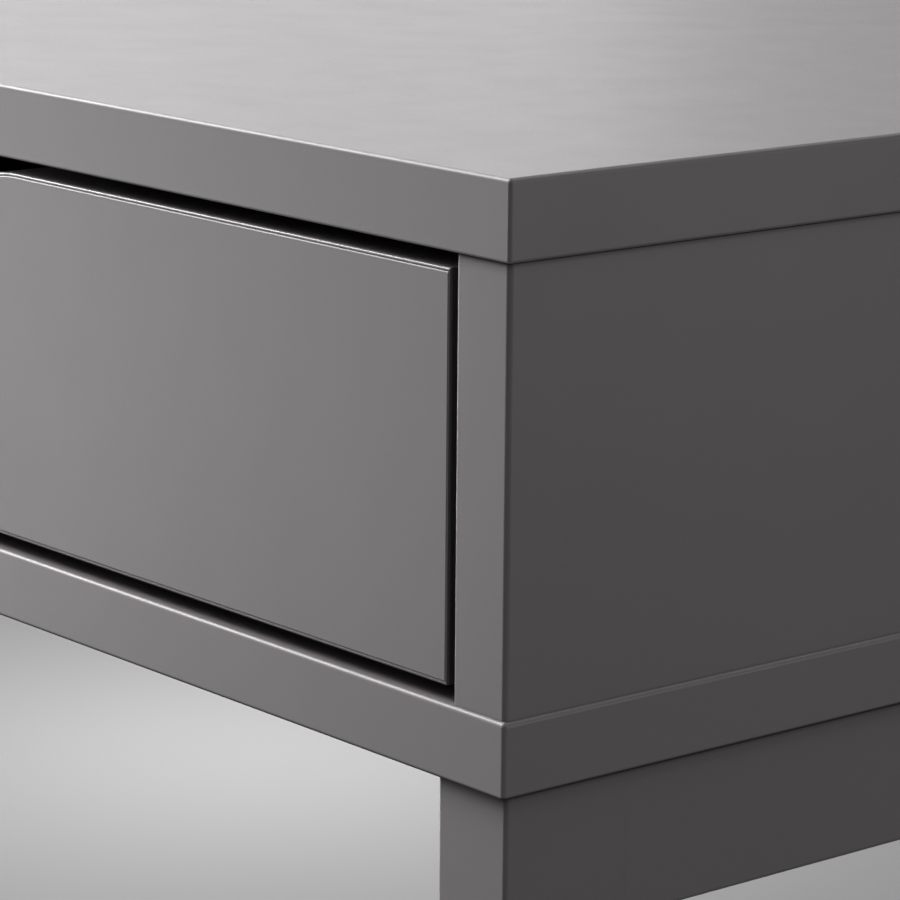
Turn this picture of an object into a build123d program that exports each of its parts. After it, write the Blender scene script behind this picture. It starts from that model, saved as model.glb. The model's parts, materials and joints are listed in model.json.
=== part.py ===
from build123d import *
import math
import os

os.makedirs("parts", exist_ok=True)

# Writing desk with two drawers side by side. Millimetres.
# X runs along the desk to the sitter's right, Y from the sitter to the back, Z up.
# The origin is on the floor, under the centre of the desk.

# ---------------------------------------------------------------- overall
W = 1320.0          # width of the top and of the carcass
D = 580.0           # depth
H = 760.0           # height of the working surface
X0, Y0 = W / 2, D / 2

# ---------------------------------------------------------------- boards
T_TOP = 21.4        # table top
T_BOT = 20.55       # bottom board
T_SIDE = 20.4       # side panels and centre divider
MID = 118.45        # clear height between bottom board and table top
INSET = 1.2         # the upright boards and drawer fronts stand this far inside the two long boards
Z_TOP = H - T_TOP               # underside of the table top
Z_MID = Z_TOP - MID             # upper face of the bottom board
Z_BOT = Z_MID - T_BOT           # underside of the bottom board

R_TOP_V = 1.0       # upright corners of the table top
R_TOP_E = 1.3       # its upper edges
R_LOW_V = 1.25      # upright corners of the bottom board
R_LOW_E = 1.4       # its upper edges
R_UNDER = 0.85      # lower edges of both
R_PANEL = 1.45      # upright outer corners of the side panels
R_INNER = 0.6       # their inner corners, and the divider's
R_END = 0.4         # their upper ends
R_RAIL = 1.0        # upper edges of the cable rail

T_BACK = 16.0       # panel behind the drawers
Y_BACK = 72.0       # its front face
T_RAIL = 16.0       # low rail along the rear edge of the cable shelf
H_RAIL = 60.0

# ---------------------------------------------------------------- drawers
GAP_SIDE = 2.6      # beside a drawer front
GAP_TOP = 4.4       # above it
GAP_LOW = 4.4       # below it
T_FRONT = 18.0
EDGING = 1.0        # plastic edging round a drawer front
R_EDGING = 0.7      # its outer front edge
V_CORE = 0.4        # bevel on the board at the seam with its edging
R_CORNER = 0.9      # corners of a drawer front
SCOOP_HALF = 112.8  # half width of the finger scoop at the top edge
SCOOP_DEPTH = 22.0
SCOOP_R1 = 66.0     # rounding into the scoop
SCOOP_R2 = 50.0     # rounding out to its flat bottom
T_BOX = 15.0        # drawer sides and back
BOX_GAP = 5.0       # from a drawer side to the wall of its bay
BOX_Y1 = 68.0       # rear end of the drawer sides
Z_BOX0, Z_BOX1 = 633.0, 712.0
Z_PAN0, Z_PAN1 = 642.0, 645.0   # drawer bottom, 3 mm hardboard
TRAVEL = 240.0

# ---------------------------------------------------------------- runners
RUN_Z = 676.0       # middle of a runner
RUN_H = 12.0
RUN_IN = 12.0       # how far a runner stands in from the wall
RUN_T = 1.2
RUN_Y0, RUN_Y1 = -268.0, 62.0
GROOVE_D = 8.0      # groove in the drawer side that the runner sits in
GROOVE_UP = 6.3     # from the runner's middle to the groove's upper face
GROOVE_DN = 8.7     # and to its lower face
STOP_L = 12.0

# ---------------------------------------------------------------- legs
LEG_X = 27.6        # tube width seen from the front
LEG_Y = 41.8        # tube depth seen from the side
LEG_T = 1.5
R_LEG = 1.3
LEG_IN_X = 2.5      # how far the frames stand in from the desk's ends
LEG_IN_Y = 3.1      # and from its front and back
RAIL_H = 41.3
FOOT_H = 4.0

# ---------------------------------------------------------------- fittings
CAM_R, CAM_D = 7.5, 12.4
CAM_IN = 7.0        # from the board's face to the middle of a cam
CAM_DROP = 24.0     # from the board's end to the middle of a cam


# ---------------------------------------------------------------- helpers
def block(x0, x1, y0, y1, z0, z1):
    x0, x1 = sorted((x0, x1))
    y0, y1 = sorted((y0, y1))
    z0, z1 = sorted((z0, z1))
    return Pos((x0 + x1) / 2, (y0 + y1) / 2, (z0 + z1) / 2) * Box(x1 - x0, y1 - y0, z1 - z0)


def rod(axis, c, r, a, b):
    """A cylinder of radius r along an axis, from a to b on it; c holds the other two coordinates."""
    n = Cylinder(r, abs(b - a))
    m = (a + b) / 2
    if axis == "z":
        return Pos(c[0], c[1], m) * n
    if axis == "y":
        return Pos(c[0], m, c[1]) * Rot(90, 0, 0) * n
    return Pos(m, c[0], c[1]) * Rot(0, 90, 0) * n


def cone(x, y, r0, r1, z0, z1):
    return Pos(x, y, (z0 + z1) / 2) * Cone(r0, r1, z1 - z0)


def along(e, axis):
    return e.geom_type == GeomType.LINE and abs(getattr(e % 0.5, axis)) > 0.999


def at(e, axis, value):
    """True if the whole edge lies at one coordinate."""
    return all(abs(getattr(e @ t, axis) - value) < 1e-3 for t in (0.0, 0.5, 1.0))


def pick(shape, test):
    return [e for e in shape.edges() if test(e)]


def rounded_board(x0, x1, y0, y1, z0, z1, r_v, r_low, r_high):
    b = block(x0, x1, y0, y1, z0, z1)
    b = fillet(pick(b, lambda e: along(e, "Z")), r_v)
    b = fillet(pick(b, lambda e: at(e, "Z", z0)), r_low)
    return fillet(pick(b, lambda e: at(e, "Z", z1)), r_high)


names = []


def save(name, *items):
    solids = []
    for item in items:
        solids += list(item.solids())
    if len(solids) == 1:
        body = solids[0]
    else:
        body = Compound(children=[Solid(s.wrapped) for s in solids])
    export_step(body, f"parts/{name}.step")
    names.append(name)


def cross_slot(axis, c, half, width, a, b):
    """Two crossed slots for a driver, in the face of a screw or cam; c as for rod."""
    w = width / 2
    if axis == "x":
        return block(a, b, c[0] - half, c[0] + half, c[1] - w, c[1] + w) + block(
            a, b, c[0] - w, c[0] + w, c[1] - half, c[1] + half
        )
    if axis == "y":
        return block(c[0] - half, c[0] + half, a, b, c[1] - w, c[1] + w) + block(
            c[0] - w, c[0] + w, a, b, c[1] - half, c[1] + half
        )
    return block(c[0] - half, c[0] + half, c[1] - w, c[1] + w, a, b) + block(
        c[0] - w, c[0] + w, c[1] - half, c[1] + half, a, b
    )


def cam_fitting(face_axis, face, out, c, bolt_axis, joint, into):
    """A cam in a board's face and its bolt across the joint into the next board.

    face is where the cam opens and out the way out of the board (+1 or -1); c holds the
    cam's other two coordinates. The bolt lies along bolt_axis, and joint is where the two
    boards meet on it. Returns the cam, the bolt, the holes in the cam's board and the hole
    in the other one.
    """
    pocket = rod(face_axis, c, CAM_R + 0.1, face - out * (CAM_D + 0.4), face + out)
    drum = rod(face_axis, c, CAM_R, face - out * CAM_D, face - out * 0.1)
    deep = face - out * CAM_IN
    if face_axis == "x":
        mid = {"x": deep, "y": c[0], "z": c[1]}
    else:
        mid = {"x": c[0], "y": deep, "z": c[1]}
    oc = tuple(mid[k] for k in "xyz" if k != bolt_axis)
    start = mid[bolt_axis]
    s = 1 if joint > start else -1
    drum = drum - rod(bolt_axis, oc, 3.9, start - s * 3.9, start + s * 20)
    drum = drum - cross_slot(face_axis, c, 5.0, 1.8, face - out * 1.7, face + out)
    bolt = (
        rod(bolt_axis, oc, 3.5, start - s * 1.5, start + s * 1.5)
        + rod(bolt_axis, oc, 2.7, start + s * 1.5, joint)
        + rod(bolt_axis, oc, 2.5, joint, joint + s * into)
    )
    bore = rod(bolt_axis, oc, 3.9, start, joint + s)
    hole = rod(bolt_axis, oc, 2.55, joint - s, joint + s * (into + 0.5))
    return drum, bolt, [pocket, bore], hole


XS, YS = X0 - INSET, Y0 - INSET # outer faces of the side panels, faces of the drawer fronts
XI = XS - T_SIDE                # inner face of a side panel
Z_FRONT0 = Z_MID + GAP_LOW      # lower edge of a drawer front
Z_FRONT1 = Z_TOP - GAP_TOP      # its upper edge
CAM_Z = Z_TOP - CAM_DROP

# ---------------------------------------------------------------- carcass boards
top = rounded_board(-X0, X0, -Y0, Y0, Z_TOP, H, R_TOP_V, R_UNDER, R_TOP_E)
bottom = rounded_board(-X0, X0, -Y0, Y0, Z_BOT, Z_MID, R_LOW_V, R_UNDER, R_LOW_E)
side = {}
for k in (1, -1):
    b = block(k * XI, k * XS, -YS, YS, Z_MID, Z_TOP)
    b = fillet(pick(b, lambda e: along(e, "Z") and at(e, "X", k * XS)), R_PANEL)
    b = fillet(pick(b, lambda e: along(e, "Z") and at(e, "X", k * XI)), R_INNER)
    side[k] = fillet(pick(b, lambda e: at(e, "Z", Z_TOP)), R_END)
divider = block(-T_SIDE / 2, T_SIDE / 2, -YS, Y_BACK, Z_MID, Z_TOP)
divider = fillet(pick(divider, lambda e: at(e, "Y", -YS) and along(e, "Z")), R_INNER)
bay_back = block(-XI, XI, Y_BACK, Y_BACK + T_BACK, Z_MID, Z_TOP)
cable_rail = block(-XI, XI, YS - T_RAIL, YS, Z_MID, Z_MID + H_RAIL)
cable_rail = fillet(pick(cable_rail, lambda e: at(e, "Z", Z_MID + H_RAIL) and along(e, "X")), R_RAIL)

top_cuts, bottom_cuts, back_cuts, rail_cuts, divider_cuts = [], [], [], [], []
side_cuts = {1: [], -1: []}
cams, bolts, dowels, screws = [], [], [], []


def dowel(axis, c, a, b, *boards):
    """A grooveless wooden peg with rounded ends, and its hole in the boards on both sides."""
    d = rod(axis, c, 4.0, a + 0.5, b - 0.5)
    d = chamfer(list(d.edges().filter_by(GeomType.CIRCLE)), 0.7)
    dowels.append(d)
    for cuts in boards:
        cuts.append(rod(axis, c, 4.05, a, b))


def carcass_cam(face_axis, face, out, c, bolt_axis, joint, own, other):
    drum, bolt, holes, hole = cam_fitting(face_axis, face, out, c, bolt_axis, joint, 11.0)
    cams.append(drum)
    bolts.append(bolt)
    own += holes
    other.append(hole)


def board_screw(x, y, upright):
    """A flush hexagon-socket screw up through the bottom board into the edge of an upright board."""
    s = (
        cone(x, y, 4.9, 3.4, Z_BOT + 0.2, Z_BOT + 4.0)
        + rod("z", (x, y), 3.4, Z_BOT + 4.0, Z_MID)
        + rod("z", (x, y), 2.6, Z_MID, Z_MID + 30)
    )
    socket = Pos(x, y, Z_BOT - 1) * extrude(RegularPolygon(2.3, 6), amount=4.0)
    screws.append(s - socket)
    bottom_cuts.append(
        cone(x, y, 5.1, 3.5, Z_BOT, Z_BOT + 4.05)
        + rod("z", (x, y), 5.1, Z_BOT - 1, Z_BOT)
        + rod("z", (x, y), 3.5, Z_BOT + 4.05, Z_MID + 1)
    )
    upright.append(rod("z", (x, y), 2.65, Z_MID - 1, Z_MID + 30.5))


for s in (1, -1):
    xm = s * (XS - T_SIDE / 2)
    for y in (-215.0, 30.0, 235.0):
        carcass_cam("x", s * XI, -s, (y, CAM_Z), "z", Z_TOP, side_cuts[s], top_cuts)
    for y in (-262.0, 150.0):
        dowel("z", (xm, y), Z_TOP - 18, Z_TOP + 12, side_cuts[s], top_cuts)
        dowel("z", (xm, y), Z_MID - 10, Z_MID + 20, side_cuts[s], bottom_cuts)
    for y in (-230.0, -75.0, 90.0, 238.0):
        board_screw(xm, y, side_cuts[s])
    carcass_cam("y", Y_BACK + T_BACK, 1, (s * (XI - CAM_DROP), 660.0), "x", s * XI, back_cuts, side_cuts[s])

for y in (-215.0, 30.0):
    carcass_cam("x", T_SIDE / 2, 1, (y, CAM_Z), "z", Z_TOP, divider_cuts, top_cuts)
dowel("z", (0, -262.0), Z_TOP - 18, Z_TOP + 12, divider_cuts, top_cuts)
dowel("z", (0, -262.0), Z_MID - 10, Z_MID + 20, divider_cuts, bottom_cuts)
dowel("y", (0, 690.0), Y_BACK - 20, Y_BACK + 10, divider_cuts, back_cuts)
for y in (-235.0, -20.0):
    board_screw(0, y, divider_cuts)
for x in (-480.0, -160.0, 160.0, 480.0):
    carcass_cam("y", Y_BACK + T_BACK, 1, (x, CAM_Z), "z", Z_TOP, back_cuts, top_cuts)
for x in (-480.0, -200.0, 200.0, 480.0):
    board_screw(x, Y_BACK + T_BACK / 2, back_cuts)
    board_screw(x, YS - T_RAIL / 2, rail_cuts)

# ---------------------------------------------------------------- leg frames
LX1 = X0 - LEG_IN_X
LX0 = LX1 - LEG_X
LY1 = Y0 - LEG_IN_Y
LY0 = LY1 - LEG_Y


def tube(axis, x0, x1, y0, y1, z0, z1):
    """A square-cornered steel tube, open at both ends."""
    o = block(x0, x1, y0, y1, z0, z1)
    o = fillet(pick(o, lambda e: along(e, axis)), R_LEG)
    t = LEG_T
    if axis == "Z":
        return o - block(x0 + t, x1 - t, y0 + t, y1 - t, z0 - 1, z1 + 1)
    return o - block(x0 + t, x1 - t, y0 - 1, y1 + 1, z0 + t, z1 - t)


leg_screws, plugs = [], []
for s, lr in ((-1, "left"), (1, "right")):
    xa, xb = sorted((s * LX0, s * LX1))
    xm = (xa + xb) / 2
    z_under = Z_BOT - RAIL_H
    save(f"leg_front_{lr}", tube("Z", xa, xb, -LY1, -LY0, FOOT_H, Z_BOT))
    save(f"leg_rear_{lr}", tube("Z", xa, xb, LY0, LY1, FOOT_H, Z_BOT))
    cuts = []
    for y in (-180.0, 0.0, 180.0):
        cuts.append(rod("z", (xm, y), 2.75, Z_BOT - LEG_T - 1, Z_BOT + 1))
        cuts.append(rod("z", (xm, y), 7.0, z_under - 1, z_under + LEG_T + 1))
        head = rod("z", (xm, y), 5.0, Z_BOT - LEG_T - 3.2, Z_BOT - LEG_T)
        shank = rod("z", (xm, y), 2.5, Z_BOT - LEG_T, Z_BOT + 15)
        socket = Pos(xm, y, Z_BOT - LEG_T - 4.2) * extrude(RegularPolygon(2.3, 6), amount=3.0)
        leg_screws.append(head + shank - socket)
        bottom_cuts.append(rod("z", (xm, y), 2.55, Z_BOT - 1, Z_BOT + 15.5))
        cap = rod("z", (xm, y), 8.6, z_under - 1.2, z_under)
        cap = fillet(pick(cap, lambda e: at(e, "Z", z_under - 1.2)), 0.8)
        stem = rod("z", (xm, y), 6.9, z_under, z_under + 6) - rod("z", (xm, y), 5.6, z_under + 0.6, z_under + 7)
        plugs.append(cap + stem)
    save(f"leg_rail_{lr}", tube("Y", xa, xb, -LY0, LY0, z_under, Z_BOT) - cuts)
    beads = []
    for t in (-1, 1):
        y, z = t * LY0, z_under
        ring = Wire.make_polygon(
            [
                Vector(xa + 2.5, y, z),
                Vector(xa + 2.5, y - t * 3.2, z),
                Vector(xa + 2.5, y - t * 1.2, z - 1.2),
                Vector(xa + 2.5, y, z - 3.2),
            ]
        )
        beads.append(extrude(Face(ring), amount=LEG_X - 5.0, dir=(1, 0, 0)))
    save(f"leg_welds_{lr}", *beads)

    for t, fr in ((-1, "front"), (1, "rear")):
        ya, yb = sorted((t * LY0, t * LY1))
        pad = block(xa, xb, ya, yb, 0, FOOT_H)
        pad = fillet(pick(pad, lambda e: along(e, "Z")), R_LEG)
        pad = chamfer(pick(pad, lambda e: at(e, "Z", 0.0)), 0.8)
        c = LEG_T + 0.1
        plug = block(xa + c, xb - c, ya + c, yb - c, FOOT_H, FOOT_H + 16)
        plug = plug - block(xa + c + 2, xb - c - 2, ya + c + 2, yb - c - 2, FOOT_H, FOOT_H + 17)
        rib = block(xa + c + 1, xb - c - 1, (ya + yb) / 2 - 1, (ya + yb) / 2 + 1, FOOT_H, FOOT_H + 12)
        save(f"foot_{fr}_{lr}", pad + plug + rib)

save("leg_frame_screws", *leg_screws)
save("leg_rail_plugs", *plugs)

# ---------------------------------------------------------------- runners
runner_screws, runner_stops = [], []
walls = {
    "left_outer": (-XI, 1, side_cuts[-1]),
    "left_inner": (-T_SIDE / 2, -1, divider_cuts),
    "right_inner": (T_SIDE / 2, 1, divider_cuts),
    "right_outer": (XI, -1, side_cuts[1]),
}
NOSE_Y1 = BOX_Y1 - STOP_L - TRAVEL - 0.3      # rear face of the nose that a drawer's stop meets
for name, (wall, into, cuts) in walls.items():
    run = block(wall, wall + into * RUN_IN, RUN_Y0, RUN_Y1, RUN_Z - RUN_H / 2, RUN_Z + RUN_H / 2)
    run = fillet(pick(run, lambda e: along(e, "Y") and abs((e @ 0.5).X - wall) < 0.01), 0.6)
    run = run - block(
        wall + into * RUN_T, wall + into * (RUN_IN + 1), RUN_Y0 - 1, RUN_Y1 + 1,
        RUN_Z - RUN_H / 2 + RUN_T, RUN_Z + RUN_H / 2 - RUN_T,
    )
    shift = 14.0 if name.startswith("right") else 0.0
    holes = []
    for y in (-250.0 + shift, -90.0 + shift, 36.0 - shift):
        holes.append(rod("x", (y, RUN_Z), 2.0, wall - into, wall + into * (RUN_T + 1)))
        head = rod("x", (y, RUN_Z), 3.6, wall + into * RUN_T, wall + into * (RUN_T + 2.2))
        shank = rod("x", (y, RUN_Z), 1.75, wall - into * 9.0, wall + into * RUN_T)
        slot = cross_slot("x", (y, RUN_Z), 2.0, 0.8, wall + into * (RUN_T + 1.2), wall + into * 5)
        runner_screws.append(head + shank - slot)
        cuts.append(rod("x", (y, RUN_Z), 1.8, wall - into * 9.5, wall + into))
    # the nose of a plastic stop reaches down through this slot in the lower flange
    holes.append(
        block(wall + into * 5.5, wall + into * (RUN_IN + 1), NOSE_Y1 - 9.7, NOSE_Y1 + 0.1,
              RUN_Z - RUN_H / 2 - 1, RUN_Z - RUN_H / 2 + RUN_T + 1)
    )
    save(f"runner_{name}", run - holes)
    plug = block(wall + into * 4.0, wall + into * 11.6, NOSE_Y1 - 14.0, NOSE_Y1 + 4.0, RUN_Z - 4.75, RUN_Z + 4.75)
    plug = chamfer(pick(plug, lambda e: along(e, "X")), 0.6)
    nose = block(wall + into * 5.6, wall + into * 11.6, NOSE_Y1 - 9.6, NOSE_Y1, RUN_Z - 8.3, RUN_Z - 4.0)
    runner_stops.append(plug + nose)
save("runner_screws", *runner_screws)
save("runner_stops", *runner_stops)

# ---------------------------------------------------------------- boards, with every hole cut
save("table_top", top - top_cuts)
save("bottom_board", bottom - bottom_cuts)
save("side_panel_left", side[-1] - side_cuts[-1])
save("side_panel_right", side[1] - side_cuts[1])
save("centre_divider", divider - divider_cuts)
save("drawer_bay_back", bay_back - back_cuts)
save("rear_cable_rail", cable_rail - rail_cuts)
save("carcass_cams", *cams)
save("carcass_cam_bolts", *bolts)
save("carcass_dowels", *dowels)
save("carcass_screws", *screws)

# ---------------------------------------------------------------- drawers
THETA = math.acos(1 - SCOOP_DEPTH / (SCOOP_R1 + SCOOP_R2))
SCOOP_LOW = SCOOP_HALF - (SCOOP_R1 + SCOOP_R2) * math.sin(THETA)   # half width of the flat bottom


def front_outline(xc, x_lo, x_hi, d):
    """The outline of a drawer front, d inside its edge, in the plane of the desk's front."""
    z_hi, z_lo, z_sc = Z_FRONT1 - d, Z_FRONT0 + d, Z_FRONT1 - SCOOP_DEPTH - d
    r1, r2 = SCOOP_R1 - d, SCOOP_R2 + d

    def convex(k, a):
        return Vector(xc + k * (SCOOP_HALF - r1 * math.sin(a)), -YS, Z_FRONT1 - SCOOP_R1 + r1 * math.cos(a))

    def concave(k, a):
        return Vector(
            xc + k * (SCOOP_LOW + r2 * math.sin(a)), -YS, Z_FRONT1 - SCOOP_DEPTH + SCOOP_R2 - r2 * math.cos(a)
        )

    lo_l, lo_r = Vector(x_lo + d, -YS, z_lo), Vector(x_hi - d, -YS, z_lo)
    hi_l, hi_r = Vector(x_lo + d, -YS, z_hi), Vector(x_hi - d, -YS, z_hi)
    edges = [Edge.make_line(lo_l, lo_r), Edge.make_line(lo_r, hi_r), Edge.make_line(hi_r, convex(1, 0))]
    edges.append(Edge.make_three_point_arc(convex(1, 0), convex(1, THETA / 2), convex(1, THETA)))
    edges.append(Edge.make_three_point_arc(convex(1, THETA), concave(1, THETA / 2), concave(1, 0)))
    edges.append(Edge.make_line(concave(1, 0), concave(-1, 0)))
    edges.append(Edge.make_three_point_arc(concave(-1, 0), concave(-1, THETA / 2), convex(-1, THETA)))
    edges.append(Edge.make_three_point_arc(convex(-1, THETA), convex(-1, THETA / 2), convex(-1, 0)))
    edges.append(Edge.make_line(convex(-1, 0), hi_l))
    edges.append(Edge.make_line(hi_l, lo_l))
    return Face(Wire(edges))


for s, lr in ((-1, "left"), (1, "right")):
    bay = sorted((s * T_SIDE / 2, s * XI))
    xc = sum(bay) / 2
    x_lo, x_hi = bay[0] + GAP_SIDE, bay[1] - GAP_SIDE
    y_f = -YS + T_FRONT                           # rear face of the front

    outer = extrude(front_outline(xc, x_lo, x_hi, 0.0), amount=T_FRONT, dir=(0, 1, 0))
    inner = extrude(front_outline(xc, x_lo, x_hi, EDGING), amount=T_FRONT, dir=(0, 1, 0))
    outer = fillet(pick(outer, lambda e: along(e, "Y") and (at(e, "X", x_lo) or at(e, "X", x_hi))), R_CORNER)
    outer = fillet(pick(outer, lambda e: at(e, "Y", -YS)), R_EDGING)
    core = chamfer(pick(inner, lambda e: at(e, "Y", -YS)), V_CORE)
    edging = outer - inner

    out_x = {-1: bay[0] + BOX_GAP, 1: bay[1] - BOX_GAP}      # outer faces of the drawer's sides
    in_x = {k: out_x[k] - k * T_BOX for k in (-1, 1)}
    front_cuts = [
        block(in_x[-1] - 6.3, in_x[1] + 6.3, y_f - 6.3, y_f + 1, Z_PAN0 - 0.1, Z_PAN1 + 0.1)
    ]
    pan_cuts, back_holes = [], []
    d_sides = {}
    d_cams, d_bolts, d_screws, d_pins, d_stops = [], [], [], [], []
    ym = BOX_Y1 - T_BOX / 2
    for k in (-1, 1):
        out, inn = out_x[k], in_x[k]
        p = block(out, inn, y_f, BOX_Y1, Z_BOX0, Z_BOX1)
        p = fillet(pick(p, lambda e: along(e, "Y") and at(e, "Z", Z_BOX1)), 0.8)
        cuts = [
            block(out + k, out - k * GROOVE_D, y_f - 1, BOX_Y1 + 1, RUN_Z - GROOVE_DN, RUN_Z + GROOVE_UP),
            block(inn - k, inn + k * 6.3, y_f - 1, BOX_Y1 + 1, Z_PAN0 - 0.1, Z_PAN1 + 0.1),
        ]
        for z in (656.0, 698.0):
            drum, bolt, holes, hole = cam_fitting("x", inn, -k, (y_f + CAM_DROP, z), "y", y_f, 11.0)
            d_cams.append(drum)
            d_bolts.append(bolt)
            cuts += holes
            front_cuts.append(hole)
            head = rod("x", (ym, z), 4.0, out - k * 0.2, out - k * 2.4)
            shank = rod("x", (ym, z), 2.0, out - k * 2.4, out - k * 42)
            slot = cross_slot("x", (ym, z), 2.2, 0.8, out - k * 1.5, out + k)
            d_screws.append(head + shank - slot)
            cuts.append(rod("x", (ym, z), 4.1, out + k, out - k * 2.45))
            cuts.append(rod("x", (ym, z), 2.05, out, inn - k))
            back_holes.append(rod("x", (ym, z), 2.05, inn + k, out - k * 42.5))
        d_sides[k] = p - cuts
        # plastic stop over the rear end of the side, with a tongue in the groove's lower part
        inside = out - k * (GROOVE_D - 0.2)
        plate = block(out - k * 0.3, out - k * 13.5, BOX_Y1, BOX_Y1 + 3.6, RUN_Z - 15, RUN_Z + 15)
        plate = fillet(pick(plate, lambda e: at(e, "Y", BOX_Y1 + 3.6)), 0.8)
        plate = plate - block(out + k, inside, BOX_Y1 - 1, BOX_Y1 + 5, RUN_Z - GROOVE_DN + 2.3, RUN_Z + GROOVE_UP)
        tongue = block(out - k * 0.3, inside, BOX_Y1 - STOP_L, BOX_Y1 + 0.2, RUN_Z - GROOVE_DN + 0.05, RUN_Z - GROOVE_DN + 2.3)
        d_stops.append(plate + tongue)

    pan = block(in_x[-1] - 6.0, in_x[1] + 6.0, y_f - 6.0, BOX_Y1 - 0.2, Z_PAN0, Z_PAN1)
    d_back = block(in_x[-1], in_x[1], BOX_Y1 - T_BOX, BOX_Y1, Z_PAN1 + 0.1, Z_BOX1)
    d_back = fillet(pick(d_back, lambda e: along(e, "X") and at(e, "Z", Z_BOX1)), 0.8)
    for x in (xc - 210, xc - 70, xc + 70, xc + 210):
        head = rod("z", (x, ym), 3.6, Z_PAN0 - 1.6, Z_PAN0)
        shank = rod("z", (x, ym), 1.6, Z_PAN0, Z_PAN0 + 18)
        slot = cross_slot("z", (x, ym), 2.0, 0.8, Z_PAN0 - 2, Z_PAN0 - 0.8)
        d_pins.append(head + shank - slot)
        pan_cuts.append(rod("z", (x, ym), 1.7, Z_PAN0 - 1, Z_PAN1 + 1))
        back_holes.append(rod("z", (x, ym), 1.65, Z_PAN1 - 1, Z_PAN0 + 18.5))

    save(f"drawer_{lr}_front", core - front_cuts)
    save(f"drawer_{lr}_front_edging", edging)
    save(f"drawer_{lr}_side_left", d_sides[-1])
    save(f"drawer_{lr}_side_right", d_sides[1])
    save(f"drawer_{lr}_back", d_back - back_holes)
    save(f"drawer_{lr}_bottom", pan - pan_cuts)
    save(f"drawer_{lr}_cams", *d_cams)
    save(f"drawer_{lr}_cam_bolts", *d_bolts)
    save(f"drawer_{lr}_back_screws", *d_screws)
    save(f"drawer_{lr}_bottom_screws", *d_pins)
    save(f"drawer_{lr}_stops", *d_stops)

print(len(names), "nodes")
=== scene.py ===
import json
import math

import bmesh
import bpy
from mathutils import Matrix, Vector


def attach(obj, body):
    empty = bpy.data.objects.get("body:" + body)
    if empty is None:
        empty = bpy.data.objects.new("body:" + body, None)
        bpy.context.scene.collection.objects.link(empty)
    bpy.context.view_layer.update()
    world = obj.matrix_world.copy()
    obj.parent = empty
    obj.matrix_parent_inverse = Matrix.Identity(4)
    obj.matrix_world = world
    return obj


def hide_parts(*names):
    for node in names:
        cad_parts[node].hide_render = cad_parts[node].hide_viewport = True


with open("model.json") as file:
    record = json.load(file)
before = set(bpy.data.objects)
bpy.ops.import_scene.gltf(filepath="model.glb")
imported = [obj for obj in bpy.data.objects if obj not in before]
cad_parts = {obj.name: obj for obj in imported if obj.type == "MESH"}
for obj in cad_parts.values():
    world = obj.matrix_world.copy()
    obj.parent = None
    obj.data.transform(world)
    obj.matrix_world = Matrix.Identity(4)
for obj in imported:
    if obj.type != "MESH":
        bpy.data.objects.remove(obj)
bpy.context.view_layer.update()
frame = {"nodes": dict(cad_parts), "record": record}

MM = 0.001
scene = bpy.context.scene
nodes = frame["nodes"]

# ------------------------------------------------------------------ sizes, in millimetres, as in the CAD model
W, D, H = 1320.0, 580.0, 760.0
X0, Y0 = W / 2, D / 2
T_TOP, T_BOT, T_SIDE, MID = 21.4, 20.55, 20.4, 118.45
Z_TOP = H - T_TOP
Z_MID = Z_TOP - MID
Z_BOT = Z_MID - T_BOT
INSET = 1.2
XS = X0 - INSET
YS = Y0 - INSET
XI = XS - T_SIDE
Y_BACK, T_BACK = 72.0, 16.0
T_RAIL, H_RAIL = 16.0, 60.0
R_TOP_V, R_TOP_E, R_PANEL, R_LOW_V, R_LOW_E, R_UNDER = 1.0, 1.3, 1.45, 1.25, 1.4, 0.85
R_INNER, R_RAIL, R_END_LOW, R_END_HIGH = 0.6, 1.0, 0.1, 0.4

GAP_SIDE, GAP_TOP, GAP_LOW = 2.6, 4.4, 4.4
T_FRONT, EDGING, R_EDGING = 18.0, 0.86, 0.72
V_CORE, V_EDGING, V_DEPTH = 0.45, 0.13, 0.265
SCOOP_HALF, SCOOP_DEPTH, SCOOP_R1, SCOOP_R2 = 112.8, 22.0, 66.0, 50.0
T_BOX, BOX_GAP, BOX_Y1 = 15.0, 5.0, 68.0
Z_BOX0, Z_BOX1 = 633.0, 712.0
Z_PAN0, Z_PAN1 = 642.0, 645.0
RUN_Z, GROOVE_D, GROOVE_UP, GROOVE_DN = 676.0, 8.0, 6.3, 8.7
Z_FRONT0 = Z_MID + GAP_LOW
Z_FRONT1 = Z_TOP - GAP_TOP
Y_FACE = -YS
Y_F = Y_FACE + T_FRONT

LEG_X, LEG_Y, LEG_T, R_LEG = 27.6, 41.8, 1.5, 1.3
LX1 = X0 - 2.5
LX0 = LX1 - LEG_X
LY1 = Y0 - 3.1
LY0 = LY1 - LEG_Y
RAIL_H, FOOT_H = 41.3, 4.0

CAM_R, CAM_D, CAM_DROP = 7.5, 12.4, 24.0
CAM_Z = Z_TOP - CAM_DROP

# ------------------------------------------------------------------ camera, at the photograph's place
cam_data = bpy.data.cameras.new("camera")
cam = bpy.data.objects.new("camera", cam_data)
scene.collection.objects.link(cam)
scene.camera = cam
cam_data.sensor_width = 36.0
cam_data.lens = 158.2062
cam_data.clip_start, cam_data.clip_end = 0.05, 100.0
cam.rotation_mode = "QUATERNION"
cam.location = (1.3950522, -0.9166963, 0.9058518)
cam.rotation_quaternion = (0.70430809, 0.56738829, 0.26405988, 0.33510151)

scene.view_settings.view_transform = "Standard"
scene.view_settings.look = "None"


# ------------------------------------------------------------------ materials
def new_material(name):
    m = bpy.data.materials.new(name)
    m.use_nodes = True
    nt = m.node_tree
    nt.nodes.clear()
    out = nt.nodes.new("ShaderNodeOutputMaterial")
    bsdf = nt.nodes.new("ShaderNodeBsdfPrincipled")
    nt.links.new(bsdf.outputs["BSDF"], out.inputs["Surface"])
    return m, nt, bsdf


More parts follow.
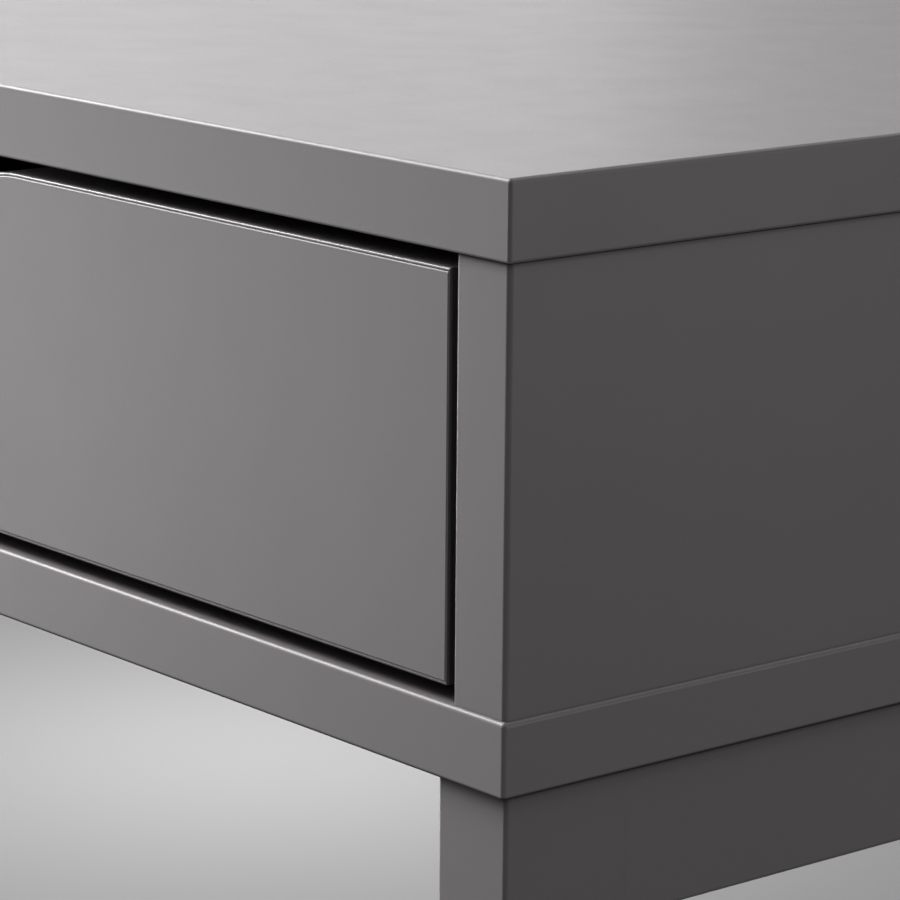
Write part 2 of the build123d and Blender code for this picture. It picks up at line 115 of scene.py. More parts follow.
def coords(nt, scale=(1, 1, 1)):
    tc = nt.nodes.new("ShaderNodeTexCoord")
    if scale == (1, 1, 1):
        return tc.outputs["Object"]
    mp = nt.nodes.new("ShaderNodeMapping")
    mp.inputs["Scale"].default_value = scale
    nt.links.new(tc.outputs["Object"], mp.inputs["Vector"])
    return mp.outputs["Vector"]


def noise(nt, vec, scale, detail=2.0, rough=0.5, distortion=0.0):
    n = nt.nodes.new("ShaderNodeTexNoise")
    n.inputs["Scale"].default_value = scale
    n.inputs["Detail"].default_value = detail
    n.inputs["Roughness"].default_value = rough
    n.inputs["Distortion"].default_value = distortion
    nt.links.new(vec, n.inputs["Vector"])
    return n.outputs["Fac"]


def span(nt, value, lo, hi, a=0.25, b=0.75):
    """Maps a value from a..b to lo..hi."""
    r = nt.nodes.new("ShaderNodeMapRange")
    r.inputs["From Min"].default_value = a
    r.inputs["From Max"].default_value = b
    r.inputs["To Min"].default_value = lo
    r.inputs["To Max"].default_value = hi
    nt.links.new(value, r.inputs["Value"])
    return r.outputs["Result"]


def maths(nt, op, a, b):
    n = nt.nodes.new("ShaderNodeMath")
    n.operation = op
    for i, v in enumerate((a, b)):
        if isinstance(v, (int, float)):
            n.inputs[i].default_value = v
        else:
            nt.links.new(v, n.inputs[i])
    return n.outputs[0]


def blend_colour(nt, fac, a, b):
    n = nt.nodes.new("ShaderNodeMix")
    n.data_type = "RGBA"
    n.inputs["A"].default_value = (*a, 1)
    n.inputs["B"].default_value = (*b, 1)
    nt.links.new(fac, n.inputs["Factor"])
    return n.outputs["Result"]


def bump(nt, heights, bsdf):
    """Chains bumps; heights is [(value, strength, distance in metres)]."""
    last = None
    for value, strength, distance in heights:
        n = nt.nodes.new("ShaderNodeBump")
        n.inputs["Strength"].default_value = strength
        n.inputs["Distance"].default_value = distance
        nt.links.new(value, n.inputs["Height"])
        if last is not None:
            nt.links.new(last, n.inputs["Normal"])
        last = n.outputs["Normal"]
    nt.links.new(last, bsdf.inputs["Normal"])


def tint(c, k):
    return tuple(max(0.0, min(1.0, v * k)) for v in c)


def seam_shade(nt, level, way, stops, widen):
    """Painted shade along a level seam: stops are (millimetres from it, share of colour kept); way is -1 below it, 1
    above.

    Ends (faces along X) get the band narrower by widen, and level faces none.
    """
    pos = nt.nodes.new("ShaderNodeSeparateXYZ")
    nt.links.new(coords(nt), pos.inputs["Vector"])
    geo = nt.nodes.new("ShaderNodeNewGeometry")
    nrm = nt.nodes.new("ShaderNodeSeparateXYZ")
    nt.links.new(geo.outputs["Normal"], nrm.inputs["Vector"])
    d = maths(nt, "MULTIPLY", maths(nt, "SUBTRACT", pos.outputs["Z"], level * MM), way / MM)
    d = maths(nt, "MULTIPLY", d, maths(nt, "ADD", maths(nt, "MULTIPLY", maths(nt, "ABSOLUTE", nrm.outputs["X"], 0.0), widen), 1.0))
    last = stops[-1][0]
    ramp = nt.nodes.new("ShaderNodeValToRGB")
    el = ramp.color_ramp.elements
    start = 0.05
    el[0].position, el[0].color = 0.0, (1, 1, 1, 1)
    el[1].position, el[1].color = 1.0, (1, 1, 1, 1)
    for mm, keep in stops:
        e = el.new((mm + start) / (last + start))
        e.color = (keep, keep, keep, 1)
    nt.links.new(span(nt, d, 0.0, 1.0, -start, last), ramp.inputs["Fac"])
    flat = span(nt, maths(nt, "ABSOLUTE", nrm.outputs["Z"], 0.0), 0.0, 1.0, 0.93, 0.99)
    return maths(nt, "MAXIMUM", ramp.outputs["Color"], flat)


def gap_shade(nt):
    """Shade deep in the gap beside a drawer front, on the faces along X only."""
    pos = nt.nodes.new("ShaderNodeSeparateXYZ")
    nt.links.new(coords(nt), pos.inputs["Vector"])
    geo = nt.nodes.new("ShaderNodeNewGeometry")
    nrm = nt.nodes.new("ShaderNodeSeparateXYZ")
    nt.links.new(geo.outputs["Normal"], nrm.inputs["Vector"])
    ramp = nt.nodes.new("ShaderNodeValToRGB")
    el = ramp.color_ramp.elements
    el[0].position, el[0].color = 0.0, (0.5, 0.5, 0.5, 1)
    el[1].position, el[1].color = 1.0, (0.05, 0.05, 0.05, 1)
    for mm, keep in ((0.12, 0.28), (0.6, 0.2), (1.6, 0.2), (4.0, 0.3), (6.5, 0.26), (8.5, 0.12), (13.0, 0.05)):
        e = el.new(mm / T_FRONT)
        e.color = (keep, keep, keep, 1)
    nt.links.new(span(nt, pos.outputs["Y"], 0.0, 1.0, Y_FACE * MM, Y_F * MM), ramp.inputs["Fac"])
    other = span(nt, maths(nt, "ABSOLUTE", nrm.outputs["X"], 0.0), 1.0, 0.0, 0.12, 0.5)
    return maths(nt, "MAXIMUM", ramp.outputs["Color"], other)


def lacquer(name, base, rough, peel=1.0, spread=0.03, specular=0.5, ior=1.5, seams=(), gap=False):
    """Satin lacquer: faint orange peel, a little unevenness in tone and sheen, with painted shade along the given
    seams and, with gap, deep in the drawer gap.
    """
    m, nt, b = new_material(name)
    v = coords(nt)
    slow = noise(nt, v, 9.0, 3.0, 0.55)
    fine = noise(nt, v, 420.0, 2.0, 0.6)
    tone = maths(nt, "ADD", span(nt, slow, 0.0, 0.7), span(nt, fine, 0.0, 0.3))
    colour = blend_colour(nt, tone, tint(base, 1 - spread), tint(base, 1 + spread))
    shades = [seam_shade(nt, *seam) for seam in seams]
    dull = shades[0] if shades else None
    for keep in shades[1:]:
        dull = maths(nt, "MULTIPLY", dull, keep)
    # Painted shade: the colour is mixed toward near-black by each seam's and the gap's share of colour kept.
    for keep in shades + ([gap_shade(nt)] if gap else []):
        shade = nt.nodes.new("ShaderNodeMix")
        shade.data_type = "RGBA"
        shade.inputs["A"].default_value = (0.004, 0.004, 0.004, 1)
        nt.links.new(colour, shade.inputs["B"])
        nt.links.new(keep, shade.inputs["Factor"])
        colour = shade.outputs["Result"]
    nt.links.new(colour, b.inputs["Base Color"])
    sheen = noise(nt, v, 38.0, 4.0, 0.6)
    speck = noise(nt, v, 900.0, 1.0, 0.5)
    r = maths(nt, "ADD", span(nt, sheen, rough - 0.025, rough + 0.025), span(nt, speck, -0.02, 0.02))
    if dull is not None:
        r = maths(nt, "ADD", r, span(nt, dull, 0.45, 0.0, 0.0, 1.0))
    nt.links.new(r, b.inputs["Roughness"])
    b.inputs["IOR"].default_value = ior
    b.inputs["Specular IOR Level"].default_value = specular
    b.inputs["Specular Tint"].default_value = (1.0, 0.978, 0.988, 1.0)
    orange = noise(nt, v, 620.0, 2.0, 0.45)
    grain = noise(nt, v, 2300.0, 1.0, 0.5)
    wave = noise(nt, v, 55.0, 2.0, 0.5)
    bump(nt, [(wave, 0.06 * peel, 0.00012), (orange, 0.35 * peel, 0.000022), (grain, 0.5 * peel, 0.000006)], b)
    return m


def steel(name, base, rough, stretch=(1, 1, 1), spread=0.08):
    m, nt, b = new_material(name)
    v = coords(nt, stretch)
    n = noise(nt, v, 700.0, 4.0, 0.6)
    s = noise(nt, v, 90.0, 3.0, 0.6)
    nt.links.new(blend_colour(nt, n, tint(base, 1 - spread), tint(base, 1 + spread)), b.inputs["Base Color"])
    nt.links.new(span(nt, s, rough - 0.07, rough + 0.09), b.inputs["Roughness"])
    b.inputs["Metallic"].default_value = 1.0
    bump(nt, [(n, 0.3, 0.00002)], b)
    return m


def plastic(name, base, rough, grain=1100.0, depth=0.00003):
    m, nt, b = new_material(name)
    v = coords(nt)
    n = noise(nt, v, grain, 3.0, 0.6)
    s = noise(nt, v, 45.0, 3.0, 0.5)
    nt.links.new(blend_colour(nt, s, tint(base, 0.95), tint(base, 1.05)), b.inputs["Base Color"])
    nt.links.new(span(nt, n, rough - 0.05, rough + 0.05), b.inputs["Roughness"])
    bump(nt, [(n, 0.5, depth)], b)
    return m


GREY = (0.1955, 0.1818, 0.1882)
# Painted shade stops (millimetres from the seam, share of colour kept): under the top board, on the leg tubes under
# the lower board, and along the lower board's bottom edge.
UNDER_TOP = ((0.0, 0.0), (0.3, 0.06), (0.55, 0.22), (0.8, 0.45), (1.1, 0.66), (1.6, 0.80), (2.4, 0.90), (3.6, 1.0))
UNDER_LOW = ((0.0, 0.0), (0.6, 0.0), (1.1, 0.12), (1.6, 0.30), (2.1, 0.46), (2.7, 0.62), (3.4, 0.80), (5.0, 1.0))
LOWER_EDGE = ((0.0, 0.0), (0.45, 0.08), (0.75, 0.42), (1.05, 0.88), (1.3, 1.0))
# The board and tube lacquers get painted shade along these seams; the edging lacquer gets painted shade deep in the
# gap beside each drawer front.
mat_board = lacquer("grey_lacquer", GREY, 0.42, seams=((Z_TOP, -1, UNDER_TOP, 1.2), (Z_BOT, 1, LOWER_EDGE, 0.0)))
mat_edging = lacquer("grey_edging", tint(GREY, 1.02), 0.32, peel=0.6, gap=True)
mat_tube = lacquer("grey_powder_coat", tint(GREY, 0.94), 0.46, peel=1.5, seams=((Z_BOT, -1, UNDER_LOW, 1.5),))
mat_screw = steel("zinc_plated_steel", (0.62, 0.62, 0.60), 0.34)
mat_cam = steel("zinc_cam", (0.50, 0.50, 0.50), 0.45)
mat_white = plastic("white_plastic", (0.78, 0.78, 0.75), 0.42)
mat_foot = plastic("foot_plastic", (0.035, 0.035, 0.037), 0.5)


def runner_paint():
    m, nt, b = new_material("runner_steel")
    v = coords(nt)
    n = noise(nt, v, 900.0, 3.0, 0.6)
    s = noise(nt, coords(nt, (1, 0.06, 1)), 500.0, 3.0, 0.6)
    nt.links.new(blend_colour(nt, s, (0.30, 0.30, 0.31), (0.36, 0.36, 0.37)), b.inputs["Base Color"])
    nt.links.new(span(nt, s, 0.30, 0.42), b.inputs["Roughness"])
    bump(nt, [(n, 0.4, 0.00002)], b)
    return m


def hardboard():
    """The drawer's thin bottom: printed grey face with the board's pressed fibre showing through."""
    m, nt, b = new_material("drawer_base_board")
    v = coords(nt)
    fibre = noise(nt, coords(nt, (1, 0.22, 1)), 420.0, 4.0, 0.65, 0.6)
    cloud = noise(nt, v, 14.0, 4.0, 0.6)
    tone = maths(nt, "ADD", span(nt, cloud, 0.0, 0.45), span(nt, fibre, 0.0, 0.55))
    nt.links.new(blend_colour(nt, tone, tint(GREY, 1.00), tint(GREY, 1.20)), b.inputs["Base Color"])
    nt.links.new(span(nt, fibre, 0.50, 0.62), b.inputs["Roughness"])
    bump(nt, [(fibre, 0.35, 0.00004)], b)
    return m


def beech():
    m, nt, b = new_material("beech")
    v = coords(nt, (6, 6, 1))
    ring = noise(nt, v, 160.0, 5.0, 0.6, 0.8)
    pore = noise(nt, coords(nt, (8, 8, 0.7)), 420.0, 2.0, 0.5)
    nt.links.new(blend_colour(nt, ring, (0.42, 0.26, 0.13), (0.58, 0.40, 0.22)), b.inputs["Base Color"])
    b.inputs["Roughness"].default_value = 0.6
    bump(nt, [(pore, 0.4, 0.0001)], b)
    return m


mat_runner = runner_paint()
mat_pan = hardboard()
mat_beech = beech()

SLOT_MATERIAL = {
    "grey_lacquer": mat_board, "grey_edging": mat_edging, "grey_powder_coat": mat_tube,
    "zinc_plated_steel": mat_screw, "zinc_cam": mat_cam, "white_plastic": mat_white,
    "foot_plastic": mat_foot, "runner_steel": mat_runner, "drawer_base_board": mat_pan, "beech": mat_beech,
}
slot_of = {s["node"]: s["material_slot"] for s in frame["record"]["subparts"]}
for name, o in nodes.items():
    m = SLOT_MATERIAL[slot_of[name]]
    if not o.material_slots:
        o.data.materials.append(m)
    for s in o.material_slots:
        s.material = m


# ------------------------------------------------------------------ mesh helpers, all in millimetres
def rounded_rect(u0, u1, v0, v1, r, inset=0.0, seg=6):
    """Counter-clockwise outline with rounded corners; r is one radius or four (u0v0, u1v0, u1v1, u0v1)."""
    rs = r if isinstance(r, (tuple, list)) else (r,) * 4
    pts = []
    for (u, v, su, sv, a0), rad in zip(
        ((u0, v0, 1, 1, 180), (u1, v0, -1, 1, 270), (u1, v1, -1, -1, 0), (u0, v1, 1, -1, 90)), rs
    ):
        e = max(rad - inset, 0.02)
        off = max(rad, inset + e)
        cu, cv = u + su * off, v + sv * off
        for k in range(seg + 1):
            a = math.radians(a0 + 90.0 * k / seg)
            pts.append((cu + e * math.cos(a), cv + e * math.sin(a)))
    return pts


def rounding(low, high, r_low, r_high, seg=5):
    """(position, inset) steps along an axis, with the ends' edges rounded."""
    steps = []
    for k in range(seg, -1, -1):
        a = math.radians(90.0 * k / seg)
        steps.append((low + r_low - r_low * math.sin(a), r_low * (1 - math.cos(a))))
    for k in range(seg + 1):
        a = math.radians(90.0 * k / seg)
        steps.append((high - r_high + r_high * math.sin(a), r_high * (1 - math.cos(a))))
    return steps


PLACE = {
    "z": lambda u, v, w: (u, v, w),      # outline in XY
    "y": lambda u, v, w: (u, w, v),      # outline in XZ
    "x": lambda u, v, w: (w, u, v),      # outline in YZ
}


def loft(sections, axis, closed=False):
    """A mesh through outlines of equal length: sections is [(outline, position along the axis)]."""
    bm = bmesh.new()
    rings = []
    for pts, w in sections:
        rings.append([bm.verts.new(Vector(PLACE[axis](u, v, w)) * MM) for u, v in pts])
    n = len(rings[0])
    pairs = list(zip(rings, rings[1:]))
    if closed:
        pairs.append((rings[-1], rings[0]))
    for a, b in pairs:
        for i in range(n):
            bm.faces.new((a[i], a[(i + 1) % n], b[(i + 1) % n], b[i]))
    if not closed:
        bm.faces.new(rings[0])
        bm.faces.new(rings[-1])
    bmesh.ops.recalc_face_normals(bm, faces=bm.faces)
    me = bpy.data.meshes.new("loft")
    bm.to_mesh(me)
    bm.free()
    return me


def apply_modifiers(o):
    dg = bpy.context.evaluated_depsgraph_get()
    me = bpy.data.meshes.new_from_object(o.evaluated_get(dg), preserve_all_data_layers=True, depsgraph=dg)
    old = o.data
    o.modifiers.clear()
    o.data = me
    bpy.data.meshes.remove(old)


def join_meshes(meshes):
    bm = bmesh.new()
    for me in meshes:
        bm.from_mesh(me)
        bpy.data.meshes.remove(me)
    out = bpy.data.meshes.new("joined")
    bm.to_mesh(out)
    bm.free()
    return out


def drill(axis, c, r, a, b, seg=48, r_b=None):
    """A round cutter along an axis, from a to b; c holds the other two coordinates."""
    r_b = r if r_b is None else r_b
    rings = []
    for rad, w in ((r, a), (r_b, b)):
        rings.append(([(c[0] + rad * math.cos(2 * math.pi * k / seg), c[1] + rad * math.sin(2 * math.pi * k / seg))
                       for k in range(seg)], w))
    return loft(rings, axis)


def piece(name, mesh, body, material, replaces=(), cutters=(), bevel=0.0, smooth=38.0):
    o = bpy.data.objects.new(name, mesh)
    mesh.name = name
    scene.collection.objects.link(o)
    mesh.materials.clear()
    mesh.materials.append(material)
    if cutters:
        c = bpy.data.objects.new(name + "_cutter", join_meshes(list(cutters)))
        scene.collection.objects.link(c)
        b = o.modifiers.new("cut", "BOOLEAN")
        b.operation, b.solver, b.object = "DIFFERENCE", "EXACT", c
        apply_modifiers(o)
        cm = c.data
        bpy.data.objects.remove(c)
        bpy.data.meshes.remove(cm)
        o.data.name = name
    if bevel:
        b = o.modifiers.new("bevel", "BEVEL")
        b.width, b.segments, b.limit_method, b.angle_limit = bevel * MM, 3, "ANGLE", math.radians(50)
        b.use_clamp_overlap = True
        apply_modifiers(o)
        o.data.name = name
    for p in o.data.polygons:
        p.use_smooth = True
    o.data.set_sharp_from_angle(angle=math.radians(smooth))
    w = o.modifiers.new("weighted", "WEIGHTED_NORMAL")
    w.mode, w.weight, w.keep_sharp = "FACE_AREA", 100, True
    if replaces:
        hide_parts(*replaces)
    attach(o, body)
    return o


def block(x0, x1, y0, y1, z0, z1):
    return loft([([(x0, y0), (x1, y0), (x1, y1), (x0, y1)], z0), ([(x0, y0), (x1, y0), (x1, y1), (x0, y1)], z1)], "z")


def board_z(x0, x1, y0, y1, z0, z1, r_v, r_low, r_high):
    return loft(
        [(rounded_rect(x0, x1, y0, y1, r_v, inset), z) for z, inset in rounding(z0, z1, r_low, r_high)], "z"
    )


# ------------------------------------------------------------------ carcass
piece("top_board", board_z(-X0, X0, -Y0, Y0, Z_TOP, H, R_TOP_V, R_UNDER, R_TOP_E), "desk", mat_board, ["table_top"])

recesses = []
screw_at = [(s * (XS - T_SIDE / 2), y) for s in (1, -1) for y in (-230.0, -75.0, 90.0, 238.0)]
screw_at += [(0.0, -235.0), (0.0, -20.0)]
screw_at += [(x, Y_BACK + T_BACK / 2) for x in (-480.0, -200.0, 200.0, 480.0)]
screw_at += [(x, YS - T_RAIL / 2) for x in (-480.0, -200.0, 200.0, 480.0)]
for x, y in screw_at:
    recesses.append(drill("z", (x, y), 5.1, Z_BOT - 1, Z_BOT + 4.05, r_b=3.5))
piece(
    "lower_board", board_z(-X0, X0, -Y0, Y0, Z_BOT, Z_MID, R_LOW_V, R_UNDER, R_LOW_E), "desk", mat_board,
    ["bottom_board"], cutters=recesses,
)


def cam_cutter(axis, face, out, c):
    return drill(axis, c, CAM_R + 0.25, face - out * (CAM_D + 0.4), face + out * 1.0)


R_SIDE = {1: (R_INNER, R_PANEL, R_PANEL, R_INNER), -1: (R_PANEL, R_INNER, R_INNER, R_PANEL)}
for s, lr in ((-1, "left"), (1, "right")):
    x0, x1 = sorted((s * XI, s * XS))
    cutters = [cam_cutter("x", s * XI, -s, (y, CAM_Z)) for y in (-215.0, 30.0, 235.0)]
    piece(
        f"end_panel_{lr}", board_z(x0, x1, -YS, YS, Z_MID, Z_TOP, R_SIDE[s], R_END_LOW, R_END_HIGH), "desk", mat_board,
        [f"side_panel_{lr}"], cutters=cutters,
    )

cutters = [cam_cutter("x", T_SIDE / 2, 1, (y, CAM_Z)) for y in (-215.0, 30.0)]
piece(
    "middle_panel",
    loft([(rounded_rect(-T_SIDE / 2, T_SIDE / 2, -YS, Y_BACK, (R_INNER, R_INNER, 0.1, 0.1), i), z)
          for z, i in rounding(Z_MID, Z_TOP, R_END_LOW, R_END_HIGH, 3)], "z"),
    "desk", mat_board, ["centre_divider"], cutters=cutters,
)

cutters = [cam_cutter("y", Y_BACK + T_BACK, 1, (x, CAM_Z)) for x in (-480.0, -160.0, 160.0, 480.0)]
cutters += [cam_cutter("y", Y_BACK + T_BACK, 1, (s * (XI - CAM_DROP), 660.0)) for s in (1, -1)]
piece(
    "panel_behind_drawers",
    loft([(rounded_rect(-XI, XI, Z_MID, Z_TOP, 0.1, i), y) for y, i in rounding(Y_BACK, Y_BACK + T_BACK, 0.15, 0.15, 2)], "y"),
    "desk", mat_board, ["drawer_bay_back"], cutters=cutters,
)
piece(
    "cable_rail",
    loft([(rounded_rect(YS - T_RAIL, YS, Z_MID, Z_MID + H_RAIL, (0.15, 0.15, R_RAIL, R_RAIL), i), x)
          for x, i in rounding(-XI, XI, 0.15, 0.15, 2)], "x"),
    "desk", mat_board, ["rear_cable_rail"],
)

# ------------------------------------------------------------------ leg frames
def tube_sections(axis_low, axis_high, u0, u1, v0, v1, r_end):
    """Rings of a hollow tube: out along the outside, back along the inside."""
    t, secs = LEG_T, []
    for w, i in rounding(axis_low, axis_high, r_end, r_end, 3):
        secs.append((rounded_rect(u0, u1, v0, v1, R_LEG, i), w))
    for w in (axis_high, axis_low):
        secs.append((rounded_rect(u0 + t, u1 - t, v0 + t, v1 - t, 0.4), w))
    return secs


for s, lr in ((-1, "left"), (1, "right")):
    xa, xb = sorted((s * LX0, s * LX1))
    for fr, (ya, yb) in (("front", (-LY1, -LY0)), ("rear", (LY0, LY1))):
        piece(
            f"leg_tube_{fr}_{lr}", loft(tube_sections(FOOT_H, Z_BOT, xa, xb, ya, yb, 0.25), "z", closed=True),
            "desk", mat_tube, [f"leg_{fr}_{lr}"],
        )
    holes = [drill("z", ((xa + xb) / 2, y), 7.1, Z_BOT - RAIL_H - 1, Z_BOT - RAIL_H + 3) for y in (-180.0, 0.0, 180.0)]
    piece(
        f"top_rail_{lr}",
        loft([([(u, v) for u, v in pts], w) for pts, w in
              tube_sections(-LY0, LY0, xa, xb, Z_BOT - RAIL_H, Z_BOT, 0.05)], "y", closed=True),
        "desk", mat_tube, [f"leg_rail_{lr}"], cutters=holes,
    )


def weld_fill(s, t, side):
    """Weld metal ground flush in the hollow between a leg's rounded corner and the rail's end."""
    x = s * (LX1 if side > 0 else LX0)
    i = -s * side
    y = t * LY0
    r, k, f = R_LEG, 1.0, 0.015
    pts = [(x + i * f, y), (x + i * f, y + t * k * 0.6), (x + i * (r - math.sqrt(r * r - (r - k) ** 2)), y + t * k)]
    for n in range(1, 7):
        a = math.asin((r - k) / r) + (math.pi / 2 - 2 * math.asin((r - k) / r)) * n / 6
        pts.append((x + i * (r - r * math.cos(a)), y + t * (r - r * math.sin(a))))
    pts.append((x + i * k, y))
    return loft([(pts, Z_BOT - RAIL_H + 0.05), (pts, Z_BOT - 0.05)], "z")


def weld_bead(s, t):
    """A small rippled fillet weld across the tube, under the rail and against the leg."""
    xa, xb = sorted((s * LX0, s * LX1))
    y, z = t * LY0, Z_BOT - RAIL_H
    n = 60
    secs = []
    for k in range(n + 1):
        f = k / n
        x = xa + 2.6 + (xb - xa - 5.2) * f
        end = min(1.0, min(f, 1 - f) * 12.0) ** 0.5
        size = 3.1 * (0.35 + 0.65 * end) * (1 + 0.035 * math.sin(f * math.pi * 26))
        pts = [(y, z)]
        for j in range(7):
            a = math.radians(90.0 * j / 6)
            rr = size * (1 - 0.36 * math.sin(2 * a))
            pts.append((y - t * rr * math.cos(a), z - rr * math.sin(a)))
        secs.append((pts, x))
    return loft(secs, "x")


for s, lr in ((-1, "left"), (1, "right")):
    piece(
        f"weld_beads_{lr}", join_meshes([weld_bead(s, -1), weld_bead(s, 1)] + [weld_fill(s, t, k) for t in (-1, 1) for k in (-1, 1)]), "desk", mat_tube,
        [f"leg_welds_{lr}"], smooth=60,
    )

# ------------------------------------------------------------------ drawers
THETA = math.acos(1 - SCOOP_DEPTH / (SCOOP_R1 + SCOOP_R2))
SCOOP_LOW = SCOOP_HALF - (SCOOP_R1 + SCOOP_R2) * math.sin(THETA)
R_CORNER = 0.9


def front_outline(xc, x_lo, x_hi, d, seg=26):
    """The outline of a drawer front in XZ, d inside its edge, always with the same number of points."""
    pts = []
    rect = rounded_rect(x_lo, x_hi, Z_FRONT0, Z_FRONT1, R_CORNER, 0.0, 5)
    e = max(R_CORNER - d, 0.02)
    off = max(R_CORNER, d + e)
    corners = ((x_lo, Z_FRONT0, 1, 1, 180), (x_hi, Z_FRONT0, -1, 1, 270), (x_hi, Z_FRONT1, -1, -1, 0), (x_lo, Z_FRONT1, 1, -1, 90))

    def corner(i):
        x, z, sx, sz, a0 = corners[i]
        cx, cz = x + sx * off, z + sz * off
        return [(cx + e * math.cos(math.radians(a0 + 18.0 * k)), cz + e * math.sin(math.radians(a0 + 18.0 * k))) for k in range(6)]

    r1, r2 = SCOOP_R1 - d, SCOOP_R2 + d

    def convex(k, a):
        return (xc + k * (SCOOP_HALF - r1 * math.sin(a)), Z_FRONT1 - SCOOP_R1 + r1 * math.cos(a))

    def concave(k, a):
        return (xc + k * (SCOOP_LOW + r2 * math.sin(a)), Z_FRONT1 - SCOOP_DEPTH + SCOOP_R2 - r2 * math.cos(a))

    pts += corner(0) + corner(1) + corner(2)
    pts += [convex(1, THETA * k / seg) for k in range(seg + 1)]
    pts += [concave(1, THETA * (1 - k / seg)) for k in range(1, seg + 1)]
    pts += [concave(-1, THETA * k / seg) for k in range(seg + 1)]
    pts += [convex(-1, THETA * (1 - k / seg)) for k in range(1, seg + 1)]
    pts += corner(3)
    return pts


for s, lr in ((-1, "left"), (1, "right")):
    body = f"drawer_{lr}"
    bay = sorted((s * T_SIDE / 2, s * XI))
    xc = sum(bay) / 2
    x_lo, x_hi = bay[0] + GAP_SIDE, bay[1] - GAP_SIDE

    core = [(front_outline(xc, x_lo, x_hi, EDGING + V_CORE), Y_FACE), (front_outline(xc, x_lo, x_hi, EDGING + 0.02), Y_FACE + V_DEPTH),
            (front_outline(xc, x_lo, x_hi, EDGING + 0.02), Y_F)]
    groove = block(bay[0] + BOX_GAP + T_BOX - 6.3, bay[1] - BOX_GAP - T_BOX + 6.3, Y_F - 6.3, Y_F + 1, Z_PAN0 - 0.1, Z_PAN1 + 0.1)
    piece(f"front_board_{lr}", loft(core, "y"), body, mat_board, [f"drawer_{lr}_front"], cutters=[groove], smooth=24)

    ring = [(front_outline(xc, x_lo, x_hi, EDGING), Y_F), (front_outline(xc, x_lo, x_hi, 0.3), Y_F),
            (front_outline(xc, x_lo, x_hi, 0.09), Y_F - 0.09), (front_outline(xc, x_lo, x_hi, 0.0), Y_F - 0.3)]
    for k in range(9):
        a = math.radians(90.0 * k / 8)
        ring.append((front_outline(xc, x_lo, x_hi, R_EDGING * (1 - math.cos(a))), Y_FACE + R_EDGING * (1 - math.sin(a))))
    if EDGING - V_EDGING > R_EDGING + 0.01:
        ring.append((front_outline(xc, x_lo, x_hi, EDGING - V_EDGING), Y_FACE))
    ring.append((front_outline(xc, x_lo, x_hi, EDGING), Y_FACE + V_DEPTH))
    piece(f"front_edging_{lr}", loft(ring, "y", closed=True), body, mat_edging, [f"drawer_{lr}_front_edging"], smooth=24)

    out_x = {-1: bay[0] + BOX_GAP, 1: bay[1] - BOX_GAP}
    in_x = {k: out_x[k] - k * T_BOX for k in (-1, 1)}
    ym = BOX_Y1 - T_BOX / 2
    for k, kn in ((-1, "left"), (1, "right")):
        out, inn = out_x[k], in_x[k]
        cutters = [
            block(*sorted((out + k, out - k * GROOVE_D)), Y_F - 1, BOX_Y1 + 1, RUN_Z - GROOVE_DN, RUN_Z + GROOVE_UP),
            block(*sorted((inn - k, inn + k * 6.3)), Y_F - 1, BOX_Y1 + 1, Z_PAN0 - 0.1, Z_PAN1 + 0.1),
        ]
        for z in (656.0, 698.0):
            cutters.append(cam_cutter("x", inn, -k, (Y_F + CAM_DROP, z)))
            cutters.append(drill("x", (ym, z), 4.15, out + k, out - k * 2.45))
        x0, x1 = sorted((out, inn))
        piece(
            f"drawer_{lr}_board_{kn}", block(x0, x1, Y_F, BOX_Y1, Z_BOX0, Z_BOX1), body, mat_board,
            [f"drawer_{lr}_side_{kn}"], cutters=cutters, bevel=0.35,
        )
    piece(
        f"drawer_{lr}_board_back", block(in_x[-1], in_x[1], BOX_Y1 - T_BOX, BOX_Y1, Z_PAN1 + 0.1, Z_BOX1), body,
        mat_board, [f"drawer_{lr}_back"], bevel=0.35,
    )
    piece(
        f"drawer_{lr}_base", block(in_x[-1] - 6.0, in_x[1] + 6.0, Y_F - 6.0, BOX_Y1 - 0.2, Z_PAN0, Z_PAN1), body,
        mat_pan, [f"drawer_{lr}_bottom"], bevel=0.1,
    )

# ------------------------------------------------------------------ studio
def plain(name, colour, rough, depth=0.0):
    m, nt, b = new_material(name)
    v = coords(nt)
    n = noise(nt, v, 3.0, 4.0, 0.5)
    nt.links.new(blend_colour(nt, n, tint(colour, 0.985), tint(colour, 1.015)), b.inputs["Base Color"])
    b.inputs["Roughness"].default_value = rough
    b.inputs["Specular IOR Level"].default_value = 0.0
    return m


FLOOR = (0.255, 0.255, 0.255)
fl = bpy.data.meshes.new("floor")
R_FLOOR, N_FLOOR = 4.6, 144
rim = [(R_FLOOR * math.cos(2 * math.pi * k / N_FLOOR), R_FLOOR * math.sin(2 * math.pi * k / N_FLOOR), 0.0) for k in range(N_FLOOR)]
fl.from_pydata(rim, [], [tuple(range(N_FLOOR))])
floor = bpy.data.objects.new("floor", fl)
scene.collection.objects.link(floor)
fl.materials.append(plain("floor_paint", FLOOR, 0.8))

AIM = (0.45, -0.2, 0.7)
BEAM = (0.62, -0.6, 0.66)
LIGHTS = {}


def softbox(name, az, el, w, h, watts, spread=180.0, aim=AIM, dist=3.2):
    a, e = math.radians(az), math.radians(el)
    place = Vector(AIM) + Vector((math.cos(a) * math.cos(e), math.sin(a) * math.cos(e), math.sin(e))) * dist
    LIGHTS[name] = (tuple(place), aim, w, h, watts, spread)


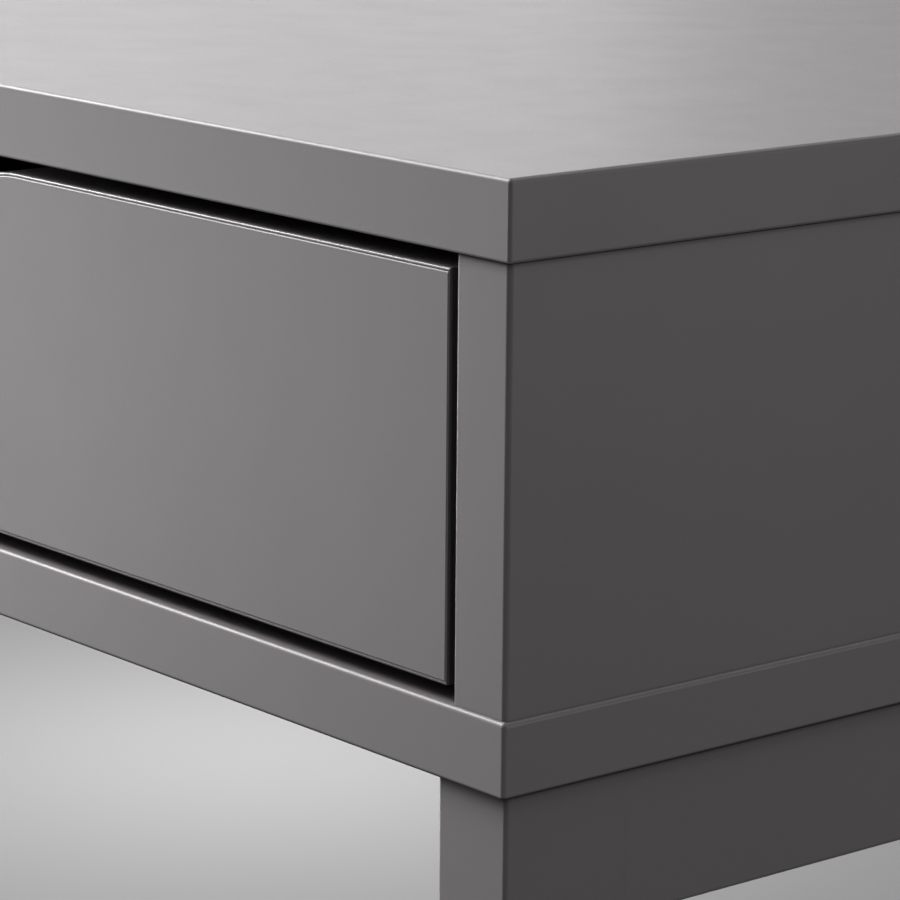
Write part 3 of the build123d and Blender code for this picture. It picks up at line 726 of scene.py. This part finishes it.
softbox("left_high_a", 204, 50, 0.70, 0.70, 29)
softbox("left_high_b", 204, 33, 0.70, 0.70, 25)
softbox("left_high_c", 196, 33, 0.70, 0.70, 45)
softbox("left_mid_a", 196, 17, 0.85, 0.85, 3.15, 40.0, BEAM)
softbox("left_mid_b", 188, 17, 0.85, 0.85, 2.1, 40.0, BEAM)
softbox("left_low_a", 188, -6.9, 0.85, 0.62, 2.8, 40.0, BEAM)
softbox("left_low_b", 180, -6.9, 0.85, 0.62, 0.85, 40.0, BEAM)
softbox("left_low_c", 212, -6.9, 0.85, 0.62, 0.04, 40.0, (0.1, -0.4, 0.66))
softbox("left_near", 214, -14.5, 0.60, 0.40, 0.225, 50.0, (0.12, -0.4, 0.58), 2.0)
softbox("rear_left_a", 158, 33, 0.90, 0.90, 15.6)
softbox("rear_left_b", 144, 17, 0.90, 0.90, 6.2)
softbox("rear_left_c", 130, 17, 0.90, 0.90, 2.3)
softbox("rear_right_high", 85, 48, 1.10, 1.10, 13)
softbox("overhead", 30, 70, 1.10, 1.10, 4)
softbox("right_high", 35, 48, 1.10, 1.10, 4.5)
softbox("right_low", 35, 3, 1.10, 1.10, 9.6)
softbox("front_right_high", 315, 50, 1.30, 1.30, 12)
LIGHTS["backdrop"] = ((-1.0, 0.89, 0.65), (-1.0, 0.89, 0.0), 0.3, 0.3, 2.8, 120.0)
WORLD = 0.08
for name, (place, aim, wide, high, watts, angle) in LIGHTS.items():
    data = bpy.data.lights.new(name, "AREA")
    data.shape, data.size, data.size_y, data.energy = "RECTANGLE", wide, high, watts
    data.spread = math.radians(angle)
    o = bpy.data.objects.new(name, data)
    scene.collection.objects.link(o)
    o.location = place
    o.rotation_mode = "QUATERNION"
    o.rotation_quaternion = (Vector(aim) - Vector(place)).to_track_quat("-Z", "Y")
    o.visible_camera = False

world = bpy.data.worlds.new("studio")
scene.world = world
world.use_nodes = True
bg = world.node_tree.nodes["Background"]
bg.inputs["Color"].default_value = (1.0, 1.0, 1.0, 1.0)
bg.inputs["Strength"].default_value = WORLD
